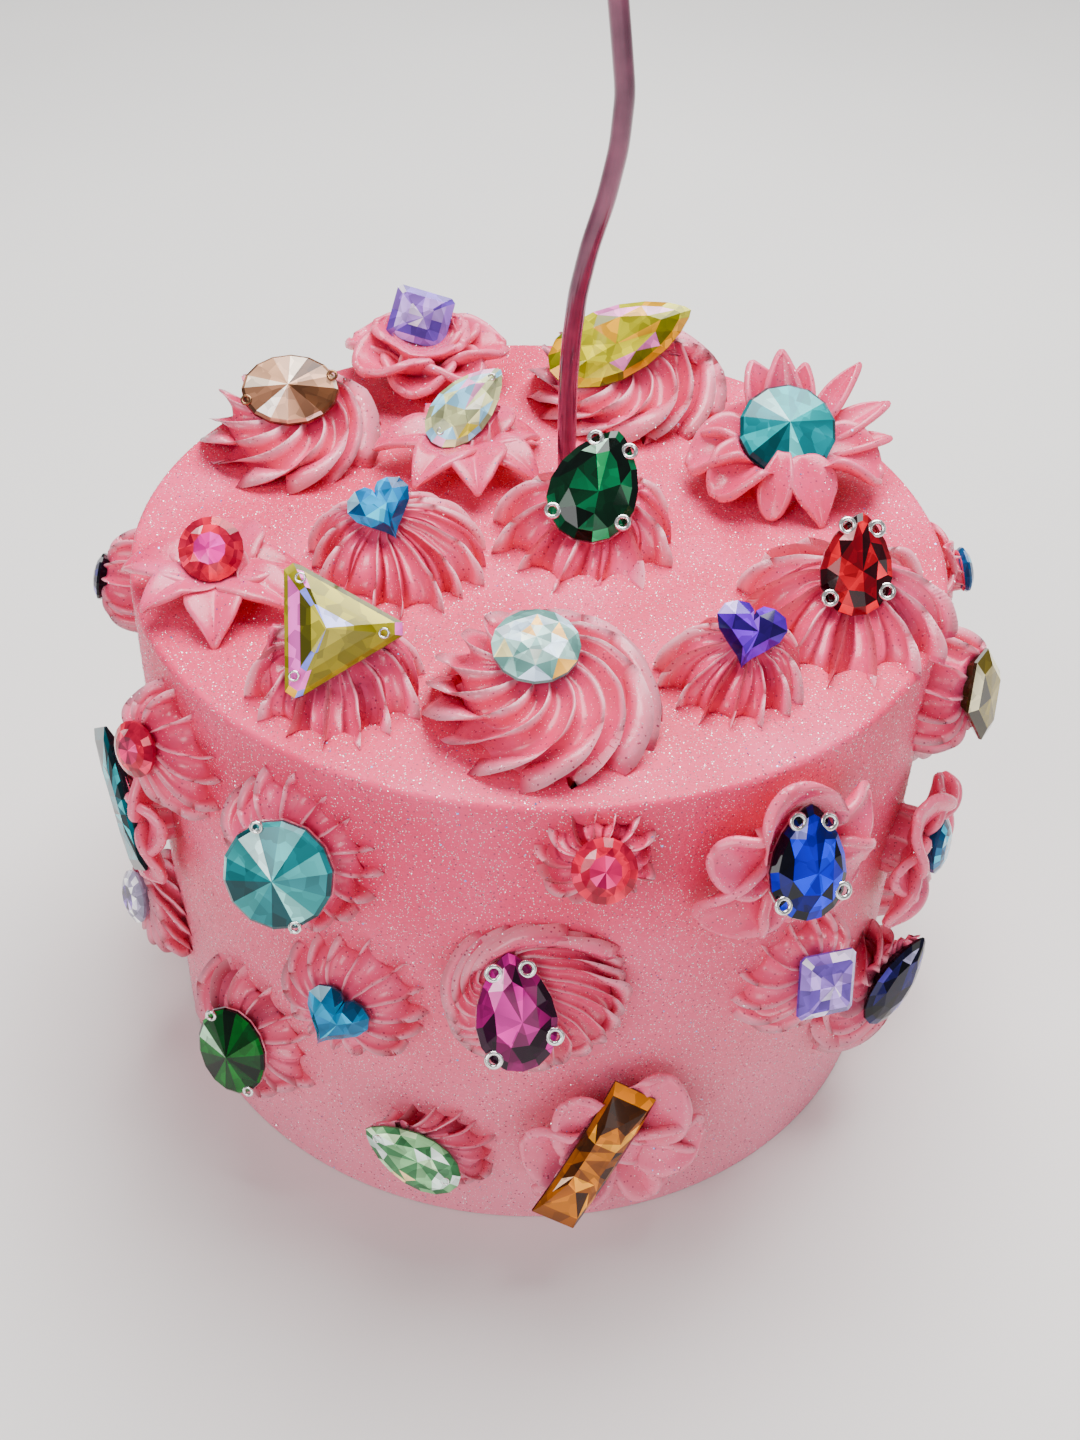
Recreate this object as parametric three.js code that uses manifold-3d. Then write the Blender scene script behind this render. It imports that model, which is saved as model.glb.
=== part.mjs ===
// Round pink cake with piped buttercream swirls, set stones and one tall wavy candle.
// Millimetres, +Z up, origin at the centre of the base.
import * as THREE from "three";
import { mergeVertices } from "three/addons/utils/BufferGeometryUtils.js";
import Module from "manifold-3d";

const wasm = await Module();
wasm.setup();

// cake
const cakeRadius = 76;
const cakeHeight = 108.5;
const rimRound = 1.6;
const cakeSegments = 52;

// fits
const gap = 0.3;
const clear = 40;

// candle
const candleRadius = 1.85;
const candleSides = 8;
const candleSteps = 15;
const candleFoot = [4.6, 22];
const candleDepth = 18;
const candleWave = [[0, 0], [22, -0.5], [42, 1], [58, 5], [73, 7], [92, 4.5], [112, 2.5], [122, 3]];
const wickRadius = 0.5;
const wickLength = 7;

// finishes
const creamColour = "#e8849c";
const candleColour = "#a8647c";
const creamRoughness = 0.6;
const shinyRoughness = 0.2;
const stoneColours = {
  clear_drop_stone: "#e4e2d6", yellow_drop_stone: "#d8c53a", emerald_stone: "#0a5a3a",
  triangle_stone: "#c9bd8c", teal_bar_stone: "#0c5f6b", olive_stone: "#8a7b2c", navy_stone: "#1b1a52",
  magenta_stone: "#8a0f5c", light_green_stone: "#a9d9a4", amber_bar_stone: "#b8650f",
  back_amber_stone: "#c77a18",
};

// stones this long or longer are solids of their own
const ownStone = 20;
const stoneDepth = 0.16;
const crownHeight = 0.2;
const roundSteps = 12;
const smallRoundSteps = 8;

// piped forms: rings of [reach, lift, twist], how far the valleys come in, points for each rib
const forms = {
  star: { rings: [[1, 0, 0], [0.93, 0.42, 0], [0.55, 0.86, 0]], valley: 0.8, rib: [1, 0] },
  rosette: { rings: [[1, 0, 0], [0.94, 0.42, 24], [0.58, 0.84, 62]], valley: 0.82, rib: [1, 0] },
  flower: { rings: [[0.9, 0, 0], [1, 0.3, 0], [0.55, 0.8, 0]], valley: 0.5, rib: [1, 0] },
  petals: { rings: [[0.88, 0, 0], [1, 0.34, 0], [0.55, 0.82, 0]], valley: 0.5, rib: [1, 1, 0] },
  ruffle: { rings: [[0.9, 0, 0], [1, 0.4, 10], [0.7, 0.85, 24]], valley: 0.74, rib: [1, 1, 0] },
};

// at: right and back of the centre. size: how wide. first: where the first rib points, in degrees.
// turn, lean: how the stone is turned, and leans to the front or up. swing: how far it faces to
// the right, in degrees, where it doesn't face straight out. seat: its middle, from the
// middle of the foot, as right, back and up, or right, up and out.
const topPieces = [
  { name: "lavender", at: [-25.5, 57], form: "ruffle", size: 34, tall: 14, ribs: 6, first: 0,
    stone: { cut: "square", long: 11, wide: 12.5, turn: -14, lean: 56, seat: [-1.5, 2.5, 13.5] } },
  { name: "champagne", at: [-50.5, 29], form: "rosette", size: 35, tall: 12, ribs: 10, first: 0,
    stone: { cut: "oval", long: 19, wide: 14.5, turn: 92, lean: 38, seat: [0, 0.5, 12] } },
  { name: "clear_drop", at: [-15, 25.5], form: "flower", size: 33, tall: 11, ribs: 7, first: 13,
    stone: { cut: "drop", long: 20, wide: 11.5, turn: -40, lean: 42, seat: [-0.5, 1, 12] } },
  { name: "yellow_drop", at: [16.5, 53], form: "rosette", size: 39, tall: 13, ribs: 11, first: 0,
    stone: { cut: "drop", long: 32, wide: 16, turn: -64, lean: 44, seat: [-2, -1.5, 14] } },
  { name: "aqua", at: [47.5, 22], form: "flower", size: 37, tall: 11, ribs: 8, first: 0,
    stone: { cut: "round", long: 19, wide: 19, turn: 0, lean: 34, seat: [-0.5, 0, 11.5] } },
  { name: "emerald", at: [9, -1.5], form: "star", size: 32, tall: 11, ribs: 10, first: 0,
    stone: { cut: "drop", long: 22, wide: 17, turn: -20, lean: 42, seat: [0.8, 0.5, 11.8] } },
  { name: "heart_blue", at: [-25.5, -11], form: "star", size: 30, tall: 10, ribs: 10, first: 0,
    stone: { cut: "heart", long: 12, wide: 12, turn: 27, lean: 48, seat: [-3, 0.5, 10.8] } },
  { name: "hot_pink", at: [-57, -21.5], form: "flower", size: 31, tall: 9, ribs: 7, first: 13,
    stone: { cut: "round", long: 11.5, wide: 11.5, turn: 0, lean: 48, seat: [-0.5, 0, 9] } },
  { name: "ruby", at: [54.5, -23.5], form: "star", size: 34, tall: 11, ribs: 11, first: 15,
    stone: { cut: "drop", long: 18, wide: 13, turn: -4, lean: 50, seat: [0.8, 0.5, 11.5] } },
  { name: "heart_violet", at: [33.5, -42.5], form: "star", size: 23, tall: 9, ribs: 10, first: 0,
    stone: { cut: "heart", long: 12, wide: 12, turn: -12, lean: 46, seat: [1.5, 0, 10] } },
  { name: "triangle", at: [-32.5, -49], form: "star", size: 26, tall: 10, ribs: 10, first: 0,
    stone: { cut: "triangle", long: 22, wide: 22, turn: -87, lean: 48, seat: [-1.2, 1.5, 11.5] } },
  { name: "clear_round", at: [1.5, -53], form: "rosette", size: 37, tall: 12, ribs: 11, first: 0,
    stone: { cut: "round", long: 14.5, wide: 14.5, turn: 0, lean: 16, seat: [-2, 2, 12.5] } },
];

// round: bearing in degrees, the front being -90. up: height above the base.
const sidePieces = [
  { name: "indigo", round: -179, up: 95, form: "star", size: 18, tall: 8, ribs: 9, first: 0,
    stone: { cut: "round", long: 9, wide: 9, turn: 0, lean: 8, seat: [0, 1, 8] } },
  { name: "coral", round: -143, up: 92, form: "star", size: 24, tall: 8, ribs: 10, first: 0,
    stone: { cut: "round", long: 10, wide: 10, turn: 0, lean: 20, seat: [-2, 2, 8], swing: 14 } },
  { name: "teal_bar", round: -156, up: 64, form: "petals", size: 25, tall: 9, ribs: 6, first: 0,
    stone: { cut: "bar", long: 28, wide: 9, turn: 38, lean: 4, seat: [-0.5, 4, 8.2], swing: 9 } },
  { name: "plum", round: -160, up: 32, form: "rosette", size: 22, tall: 8, ribs: 10, first: 0,
    stone: { cut: "round", long: 11, wide: 11, turn: 0, lean: 12, seat: [-2.5, 2, 8.5], swing: 14 } },
  { name: "teal_round", round: -119.5, up: 89.5, form: "star", size: 27, tall: 8, ribs: 11, first: 0,
    stone: { cut: "round", long: 18.5, wide: 18.5, turn: 0, lean: 26, seat: [1.5, 1, 8.5], swing: 20 } },
  { name: "rose", round: -82, up: 99, form: "star", size: 17.5, tall: 6.5, ribs: 10, first: 0,
    stone: { cut: "round", long: 10.5, wide: 10.5, turn: 0, lean: 36, seat: [0.2, 2.5, 6.5] } },
  { name: "sapphire", round: -57.5, up: 92.5, form: "petals", size: 30, tall: 9, ribs: 6, first: 0,
    stone: { cut: "drop", long: 19, wide: 14, turn: -12, lean: 34, seat: [-0.5, 2.5, 8.5], swing: -12 } },
  { name: "teal_edge", round: -24, up: 63, form: "flower", size: 27, tall: 10, ribs: 7, first: 0,
    stone: { cut: "round", long: 11, wide: 11, turn: 0, lean: 6, seat: [0.5, 1, 9] } },
  { name: "olive", round: -18, up: 94, form: "star", size: 22, tall: 9, ribs: 10, first: 0,
    stone: { cut: "kite", long: 20, wide: 12, turn: 12, lean: 8, seat: [1, 0, 9.5], swing: -20 } },
  { name: "lavender_side", round: -51, up: 56, form: "star", size: 24, tall: 8, ribs: 10, first: 0,
    stone: { cut: "square", long: 12, wide: 12, turn: -12, lean: 22, seat: [1.2, 2, 8], swing: -8 } },
  { name: "navy", round: -32.5, up: 30.5, form: "rosette", size: 27, tall: 9, ribs: 11, first: 0,
    stone: { cut: "drop", long: 20, wide: 11, turn: -44, lean: 12, seat: [2, 6, 9], swing: -24 } },
  { name: "green_oval", round: -131.4, up: 32, form: "star", size: 28, tall: 8, ribs: 10, first: 0,
    stone: { cut: "oval", long: 18, wide: 13.5, turn: 14, lean: 18, seat: [1.5, 0.5, 8], swing: 24 } },
  { name: "heart_aqua", round: -112.5, up: 59, form: "star", size: 25, tall: 8, ribs: 10, first: 0,
    stone: { cut: "heart", long: 12, wide: 12, turn: -24, lean: 24, seat: [-0.5, 0, 8], swing: 10 } },
  { name: "magenta", round: -88.5, up: 67, form: "rosette", size: 31, tall: 9, ribs: 12, first: 0,
    stone: { cut: "drop", long: 20, wide: 14, turn: 6, lean: 36, seat: [-3.5, 4, 8.5], swing: 4 } },
  { name: "light_green", round: -101, up: 21.5, form: "star", size: 20, tall: 7, ribs: 10, first: 0,
    stone: { cut: "drop", long: 20, wide: 10.5, turn: 60, lean: 26, seat: [-3.5, 4, 7.5], swing: 8 } },
  { name: "amber_bar", round: -77.5, up: 26.5, form: "petals", size: 31, tall: 8, ribs: 6, first: 0,
    stone: { cut: "bar", long: 29, wide: 10, turn: -34, lean: 22, seat: [-4.5, 4.5, 8.5] } },
  { name: "peeking", round: 8, up: 96, form: "flower", size: 21, tall: 9, ribs: 7, first: 0,
    stone: { cut: "round", long: 9, wide: 9, turn: 0, lean: 10, seat: [0, 0, 9] } },
  // the hidden side
  { name: "back_ruby", round: 0, up: 30, form: "star", size: 26, tall: 9, ribs: 9, first: 0,
    stone: { cut: "oval", long: 18, wide: 13, turn: 20, lean: 20, seat: [0, 1, 9] } },
  { name: "back_gold", round: 8, up: 63, form: "rosette", size: 27, tall: 10, ribs: 10, first: 0,
    stone: { cut: "round", long: 14, wide: 14, turn: 0, lean: 18, seat: [0, 1.5, 10] } },
  { name: "back_violet", round: 31, up: 88, form: "star", size: 25, tall: 9, ribs: 9, first: 0,
    stone: { cut: "heart", long: 12, wide: 12, turn: 14, lean: 22, seat: [0, 1, 9] } },
  { name: "back_teal", round: 34, up: 44, form: "petals", size: 30, tall: 9, ribs: 6, first: 0,
    stone: { cut: "drop", long: 18, wide: 13, turn: -16, lean: 24, seat: [0, 1, 9.5] } },
  { name: "back_amber", round: 58, up: 70, form: "rosette", size: 30, tall: 10, ribs: 11, first: 0,
    stone: { cut: "drop", long: 25, wide: 17, turn: 10, lean: 26, seat: [0, 1.5, 10] } },
  { name: "back_green", round: 61, up: 24, form: "star", size: 26, tall: 9, ribs: 9, first: 0,
    stone: { cut: "square", long: 12, wide: 12, turn: 18, lean: 20, seat: [0, 1, 9] } },
  { name: "back_clear", round: 84, up: 91, form: "flower", size: 28, tall: 9, ribs: 7, first: 13,
    stone: { cut: "drop", long: 18, wide: 12, turn: 38, lean: 24, seat: [0, 1, 9.5] } },
  { name: "back_blue", round: 87, up: 50, form: "star", size: 27, tall: 9, ribs: 10, first: 0,
    stone: { cut: "round", long: 18, wide: 18, turn: 0, lean: 22, seat: [0, 1.5, 9.5] } },
  { name: "back_emerald", round: 111, up: 76, form: "star", size: 28, tall: 9, ribs: 10, first: 0,
    stone: { cut: "oval", long: 18, wide: 13, turn: -12, lean: 26, seat: [0, 1, 9.5] } },
  { name: "back_lilac", round: 117, up: 35, form: "petals", size: 30, tall: 9, ribs: 6, first: 0,
    stone: { cut: "triangle", long: 18, wide: 18, turn: 12, lean: 22, seat: [0, 1, 9.5] } },
  { name: "back_wine", round: 140, up: 61, form: "rosette", size: 28, tall: 10, ribs: 11, first: 0,
    stone: { cut: "drop", long: 18, wide: 13, turn: -8, lean: 28, seat: [0, 1.5, 10] } },
  { name: "back_lime", round: 145, up: 22, form: "star", size: 24, tall: 9, ribs: 9, first: 0,
    stone: { cut: "oval", long: 16, wide: 11, turn: 50, lean: 22, seat: [0, 1, 9] } },
  { name: "back_ocean", round: 153, up: 91, form: "flower", size: 28, tall: 9, ribs: 7, first: 0,
    stone: { cut: "round", long: 12, wide: 12, turn: 0, lean: 20, seat: [0, 1, 9] } },
  { name: "back_orange", round: 170, up: 48, form: "star", size: 26, tall: 9, ribs: 10, first: 0,
    stone: { cut: "drop", long: 18, wide: 13, turn: 16, lean: 24, seat: [0, 1, 9] } },
];

function solidOf(geometry) {
  const bare = new THREE.BufferGeometry();
  bare.setAttribute("position", geometry.getAttribute("position").clone());
  if (geometry.index) bare.setIndex(geometry.index.clone());
  const welded = mergeVertices(bare, 1e-4);
  return new wasm.Manifold(new wasm.Mesh({
    numProp: 3,
    vertProperties: new Float32Array(welded.getAttribute("position").array),
    triVerts: new Uint32Array(welded.index.array),
  }));
}

function geometryOf(solid) {
  const mesh = solid.getMesh();
  const geometry = new THREE.BufferGeometry();
  geometry.setAttribute("position", new THREE.BufferAttribute(new Float32Array(mesh.vertProperties), 3));
  geometry.setIndex(new THREE.BufferAttribute(new Uint32Array(mesh.triVerts), 1));
  geometry.computeVertexNormals();
  return geometry;
}

// rings of equally many points, from low to high, closed by a point at each end
function ringSolid(rings, low, high) {
  const count = rings[0].length;
  const points = [...rings.flat(), low, high];
  const faces = [];
  const lowPoint = points.length - 2;
  const highPoint = points.length - 1;
  for (let i = 0; i < count; i += 1) {
    const j = (i + 1) % count;
    faces.push(lowPoint, j, i);
    for (let k = 0; k < rings.length - 1; k += 1) {
      const a = k * count;
      const b = a + count;
      faces.push(a + i, a + j, b + j, a + i, b + j, b + i);
    }
    const top = (rings.length - 1) * count;
    faces.push(top + i, top + j, highPoint);
  }
  const geometry = new THREE.BufferGeometry().setFromPoints(points);
  geometry.setIndex(faces);
  return geometry;
}

function cakeBody() {
  const inner = rimRound * (1 - Math.SQRT1_2);
  const profile = [[0, 0], [cakeRadius, 0], [cakeRadius, cakeHeight - rimRound],
    [cakeRadius - inner, cakeHeight - inner], [cakeRadius - rimRound, cakeHeight], [0, cakeHeight]];
  const points = profile.map(([r, z]) => new THREE.Vector2(r, z));
  return new THREE.LatheGeometry(points, cakeSegments).rotateX(Math.PI / 2);
}

// the middle of the foot is raised so that the foot clears the bend of the cake's side
function footRise(size) {
  const half = size / 2 / cakeRadius;
  return (cakeRadius + gap) * (1 / Math.cos(half) - 1);
}

function pipedForm({ form, size, tall, ribs, first }, rise) {
  const { rings, valley, rib } = forms[form];
  const count = ribs * rib.length;
  const made = rings.map(([reach, lift, twist]) => Array.from({ length: count }, (_, i) => {
    const factor = valley + (1 - valley) * rib[i % rib.length];
    const angle = (i / count) * Math.PI * 2 + THREE.MathUtils.degToRad(first + twist);
    const radius = (size / 2) * reach * factor;
    return new THREE.Vector3(radius * Math.cos(angle), radius * Math.sin(angle), gap + tall * lift);
  }));
  return ringSolid(made, new THREE.Vector3(0, 0, gap + rise), new THREE.Vector3(0, 0, tall));
}

// outlines from the top point round, in halves of the width and the length
const outlines = {
  round: (t) => [-Math.sin(t), Math.cos(t)],
  oval: (t) => [-Math.sin(t), Math.cos(t)],
  drop: (t) => [-1.22 * Math.sin(t) * Math.sin(t / 2) ** 0.7, Math.cos(t)],
  heart: (t) => [-(Math.sin(t) ** 3), heartRise(t)],
};

function heartRise(t) {
  const curve = 13 * Math.cos(t) - 5 * Math.cos(2 * t) - 2 * Math.cos(3 * t) - Math.cos(4 * t);
  return curve / 15 + 0.13;
}

const corners = {
  square: [[1, -0.8], [1, 0.8], [0.8, 1], [-0.8, 1], [-1, 0.8], [-1, -0.8], [-0.8, -1], [0.8, -1]],
  triangle: [[0.08, 1.07], [-0.08, 1.07], [-1, -0.5], [-0.9, -0.66], [0.9, -0.66], [1, -0.5]],
  kite: [[1, 0.1], [0.35, 1], [-0.35, 1], [-1, 0.1], [-0.3, -1], [0.3, -1]],
  bar: [[0.7, -1], [0.95, -0.55], [1.1, 0], [0.95, 0.55], [0.7, 1], [-1, 1], [-0.75, 0.55],
    [-0.6, 0], [-0.75, -0.55], [-1, -1]],
};

function outlineOf(cut, wide, long) {
  const steps = long < ownStone ? smallRoundSteps : roundSteps;
  const round = Array.from({ length: steps }, (_, i) => (i / steps) * Math.PI * 2);
  const points = corners[cut] ?? round.map((t) => outlines[cut](t));
  return points.map(([x, y]) => [(x * wide) / 2, (y * long) / 2]);
}

function ringAt(outline, scale, z) {
  return outline.map(([x, y]) => new THREE.Vector3(x * scale, y * scale, z));
}

function stoneForm({ cut, long, wide }) {
  const outline = outlineOf(cut, wide, long);
  const crown = wide * crownHeight;
  const rings = [ringAt(outline, 1, 0), ringAt(outline, 0.55, crown * 0.9)];
  return ringSolid(rings, new THREE.Vector3(0, 0, -wide * stoneDepth), new THREE.Vector3(0, 0, crown));
}

// what must be free of cream: the stone's outline with room round it, and all in front of it
function stoneRoom({ cut, long, wide }) {
  const outline = outlineOf(cut, wide + gap * 3, long + gap * 3);
  const rings = [ringAt(outline, 1, 0), ringAt(outline, 1, clear)];
  const back = -wide * stoneDepth - gap * 1.5;
  return ringSolid(rings, new THREE.Vector3(0, 0, back), new THREE.Vector3(0, 0, clear));
}

function stonePlace({ turn, lean, seat, swing = 0 }, toFront) {
  const sway = new THREE.Matrix4().makeRotationY(THREE.MathUtils.degToRad(swing));
  const tilt = new THREE.Matrix4().makeRotationX(THREE.MathUtils.degToRad(lean) * toFront);
  const spin = new THREE.Matrix4().makeRotationZ(THREE.MathUtils.degToRad(turn));
  return new THREE.Matrix4().makeTranslation(...seat).multiply(sway).multiply(tilt)
    .multiply(spin);
}

// the cake's top, with the piece's own right, back and up
function topPlace({ at }) {
  return new THREE.Matrix4().makeTranslation(at[0], at[1], cakeHeight);
}

// the cake's side, with the piece's own right, up and out
function sidePlace({ round, up }) {
  const angle = THREE.MathUtils.degToRad(round);
  const right = new THREE.Vector3(-Math.sin(angle), Math.cos(angle), 0);
  const out = new THREE.Vector3(Math.cos(angle), Math.sin(angle), 0);
  const place = new THREE.Matrix4().makeBasis(right, new THREE.Vector3(0, 0, 1), out);
  return place.setPosition(cakeRadius * out.x, cakeRadius * out.y, up);
}

// a flat form bent round the cake's side
function wrapped(geometry, { round, up }) {
  const places = geometry.getAttribute("position");
  for (let i = 0; i < places.count; i += 1) {
    const angle = THREE.MathUtils.degToRad(round) + places.getX(i) / cakeRadius;
    const radius = cakeRadius + places.getZ(i);
    places.setXYZ(i, radius * Math.cos(angle), radius * Math.sin(angle), up + places.getY(i));
  }
  return geometry;
}

function withStone({ name, stone }, form, place) {
  const body = solidOf(form);
  const gem = stoneForm(stone).applyMatrix4(place);
  if (stone.long < ownStone) return [[name, geometryOf(body.add(solidOf(gem)))]];
  const room = stoneRoom(stone).applyMatrix4(place);
  return [[name, geometryOf(body.subtract(solidOf(room)))], [`${name}_stone`, gem]];
}

function onTop(piece) {
  const place = topPlace(piece);
  const form = pipedForm(piece, 0).applyMatrix4(place);
  return withStone(piece, form, place.multiply(stonePlace(piece.stone, 1)));
}

function onSide(piece) {
  const form = wrapped(pipedForm(piece, footRise(piece.size)), piece);
  return withStone(piece, form, sidePlace(piece).multiply(stonePlace(piece.stone, -1)));
}

function tube(points, radius, sides, steps) {
  const shape = new THREE.Shape();
  shape.absarc(0, 0, radius, 0, Math.PI * 2);
  const outline = new THREE.Shape(shape.getPoints(Math.ceil(sides / 2)).slice(0, -1));
  const path = new THREE.CatmullRomCurve3(points.map((point) => new THREE.Vector3(...point)));
  return new THREE.ExtrudeGeometry(outline, { steps, extrudePath: path, bevelEnabled: false });
}

function candle() {
  const [x, y] = candleFoot;
  const last = candleWave[candleWave.length - 1];
  const foot = [x, y, cakeHeight - candleDepth];
  const rise = candleWave.map(([height, shift]) => [x + shift, y, cakeHeight + height]);
  const rod = tube([foot, ...rise], candleRadius, candleSides, candleSteps);
  const tip = [x + last[1], y, cakeHeight + last[0]];
  const wick = tube([[tip[0], tip[1], tip[2] - 3], tip, [tip[0] + 0.6, tip[1], tip[2] + wickLength]],
    wickRadius, 6, 3);
  return geometryOf(solidOf(rod).add(solidOf(wick)));
}

function cake() {
  const [x, y] = candleFoot;
  const socketTop = cakeHeight + clear;
  const hole = tube([[x, y, cakeHeight - candleDepth - gap], [x, y, socketTop]],
    candleRadius + gap * 1.4, candleSides, 1);
  return geometryOf(solidOf(cakeBody()).subtract(solidOf(hole)));
}

function finished(name, geometry) {
  const colour = stoneColours[name] ?? (name === "candle" ? candleColour : creamColour);
  const shiny = name in stoneColours || name === "candle";
  const finish = { color: colour, roughness: shiny ? shinyRoughness : creamRoughness, metalness: 0 };
  const mesh = new THREE.Mesh(geometry, new THREE.MeshStandardMaterial(finish));
  mesh.name = name;
  return mesh;
}

const group = new THREE.Group();
const pieces = [["cake", cake()], ["candle", candle()]];
for (const piece of topPieces) pieces.push(...onTop(piece));
for (const piece of sidePieces) pieces.push(...onSide(piece));
for (const [name, geometry] of pieces) group.add(finished(name, geometry));

export default group;
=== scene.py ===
import math
import random

import bmesh
import bpy
import numpy as np
from mathutils import Matrix, Vector, noise


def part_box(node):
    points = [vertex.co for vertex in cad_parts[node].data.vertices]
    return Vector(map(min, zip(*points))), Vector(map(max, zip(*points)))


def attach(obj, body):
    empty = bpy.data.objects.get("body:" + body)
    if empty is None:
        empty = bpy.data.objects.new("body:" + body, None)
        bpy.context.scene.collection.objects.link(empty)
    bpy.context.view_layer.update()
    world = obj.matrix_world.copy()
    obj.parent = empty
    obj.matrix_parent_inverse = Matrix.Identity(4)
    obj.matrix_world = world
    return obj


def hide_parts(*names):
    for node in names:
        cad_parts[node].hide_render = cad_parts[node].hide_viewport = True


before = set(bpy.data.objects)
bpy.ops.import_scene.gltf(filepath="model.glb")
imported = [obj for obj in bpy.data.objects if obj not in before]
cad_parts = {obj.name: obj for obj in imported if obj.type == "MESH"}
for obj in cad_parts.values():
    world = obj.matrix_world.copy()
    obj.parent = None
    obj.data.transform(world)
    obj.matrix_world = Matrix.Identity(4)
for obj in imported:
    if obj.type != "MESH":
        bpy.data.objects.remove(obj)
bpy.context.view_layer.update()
mm = 0.001

# where the cake stands, read from the frame
cakeLow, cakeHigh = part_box("cake")
cakeRadius = (cakeHigh.x - cakeLow.x) / 2
cakeTop = cakeHigh.z
print("frame loaded, cake", round(cakeRadius * 2, 4), "wide and", round(cakeTop, 4), "high")


# ---- finishes
def hexColour(text):
    channels = [int(text[i:i + 2], 16) / 255 for i in (1, 3, 5)]
    linear = [c / 12.92 if c <= 0.04045 else ((c + 0.055) / 1.055) ** 2.4 for c in channels]
    return (*linear, 1.0)


def startMaterial(name):
    material = bpy.data.materials.new(name)
    material.use_nodes = True
    return material, material.node_tree, material.node_tree.nodes["Principled BSDF"]


def setInputs(node, values):
    for key, value in values.items():
        node.inputs[key].default_value = value


def addNode(tree, kind, inputs=None, **settings):
    node = tree.nodes.new(kind)
    for key, value in settings.items():
        setattr(node, key, value)
    setInputs(node, inputs or {})
    return node


def patternOn(tree, kind, inputs):
    place = addNode(tree, "ShaderNodeTexCoord")
    pattern = addNode(tree, kind, inputs)
    tree.links.new(place.outputs["Object"], pattern.inputs["Vector"])
    return pattern


def noiseOn(tree, scale, detail=3.0):
    return patternOn(tree, "ShaderNodeTexNoise", {"Scale": scale, "Detail": detail}).outputs["Fac"]


def tinted(tree, source, stops):
    node = addNode(tree, "ShaderNodeValToRGB")
    while len(node.color_ramp.elements) < len(stops):
        node.color_ramp.elements.new(0.5)
    for element, (place, colour) in zip(node.color_ramp.elements, stops):
        element.position = place
        element.color = hexColour(colour)
    tree.links.new(source, node.inputs["Fac"])
    return node.outputs["Color"]


def ranged(tree, source, low, high, socket):
    node = addNode(tree, "ShaderNodeMapRange", {"To Min": low, "To Max": high})
    tree.links.new(source, node.inputs["Value"])
    tree.links.new(node.outputs["Result"], socket)


def bumped(tree, shader, source, strength, distance):
    bump = addNode(tree, "ShaderNodeBump", {"Strength": strength, "Distance": distance})
    tree.links.new(source, bump.inputs["Height"])
    tree.links.new(bump.outputs["Normal"], shader.inputs["Normal"])


def dots(tree, scale, size):
    cells = patternOn(tree, "ShaderNodeTexVoronoi", {"Scale": scale})
    near = addNode(tree, "ShaderNodeMath", {1: size}, operation="LESS_THAN")
    tree.links.new(cells.outputs["Distance"], near.inputs[0])
    return near.outputs["Value"]


def overlaid(tree, factor, under, over):
    node = addNode(tree, "ShaderNodeMix", data_type="RGBA")
    tree.links.new(factor, node.inputs["Factor"])
    tree.links.new(under, node.inputs["A"])
    node.inputs["B"].default_value = hexColour(over)
    return node.outputs["Result"]


creamLook = {
    "colours": ("#da2a58", "#e73a68", "#ef4f7a"), "patch": 45,
    "pit": "#a03a58", "pitScale": 900, "pitSize": 0.16,
    "speck": "#ffd3dc", "speckScale": 1700, "speckSize": 0.17,
    "grain": 1300, "bump": 0.5, "roughness": (0.4, 0.56), "shine": 0.28,
    # foot: a paler colour towards the bottom, painted light bounced up from the board below
    "foot": "#ee93a8", "footBounceLightShare": 0.72,
}
pipedLook = {**creamLook, "colours": ("#d62c5c", "#e53d6d", "#ee5282"), "patch": 90, "bump": 0.16,
             # crest: the colour of the painted highlight along ridge crests and petal rims
             "roughness": (0.2, 0.34), "speckSize": 0.12, "shine": 0.5, "crest": "#ffc0cc",
             # the piped cream has less of the painted bounce light at its foot
             "footBounceLightShare": 0.4}


def creamMaterial(name, look):
    material, tree, shader = startMaterial(name)
    deep, main, pale = look["colours"]
    patches = noiseOn(tree, look["patch"], 4)
    colour = tinted(tree, patches, [(0.3, deep), (0.5, main), (0.7, pale)])
    # painted bounce light: the colour turns paler towards the bottom of the cake
    place = addNode(tree, "ShaderNodeTexCoord")
    split = addNode(tree, "ShaderNodeSeparateXYZ")
    tree.links.new(place.outputs["Object"], split.inputs[0])
    paintedBounceLight = addNode(tree, "ShaderNodeMapRange", {"From Max": cakeTop * 0.8, "To Min": look["footBounceLightShare"],
                                                 "To Max": 0.0})
    tree.links.new(split.outputs["Z"], paintedBounceLight.inputs["Value"])
    colour = overlaid(tree, paintedBounceLight.outputs["Result"], colour, look["foot"])
    # painted highlight: crests and rims turn lighter as if they caught the light
    if look.get("crest"):
        crest = addNode(tree, "ShaderNodeAttribute", attribute_name="ridge")
        colour = overlaid(tree, crest.outputs["Fac"], colour, look["crest"])
    colour = overlaid(tree, dots(tree, look["speckScale"], look["speckSize"]), colour, look["speck"])
    colour = overlaid(tree, dots(tree, look["pitScale"], look["pitSize"]), colour, look["pit"])
    tree.links.new(colour, shader.inputs["Base Color"])
    ranged(tree, patches, *look["roughness"], shader.inputs["Roughness"])
    bumped(tree, shader, noiseOn(tree, look["grain"], 4), look["bump"], 0.0003)
    setInputs(shader, {"Specular IOR Level": look["shine"], "Subsurface Weight": 0.1,
                       "Subsurface Radius": (1.0, 0.35, 0.3), "Subsurface Scale": 0.0015})
    return material


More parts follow.
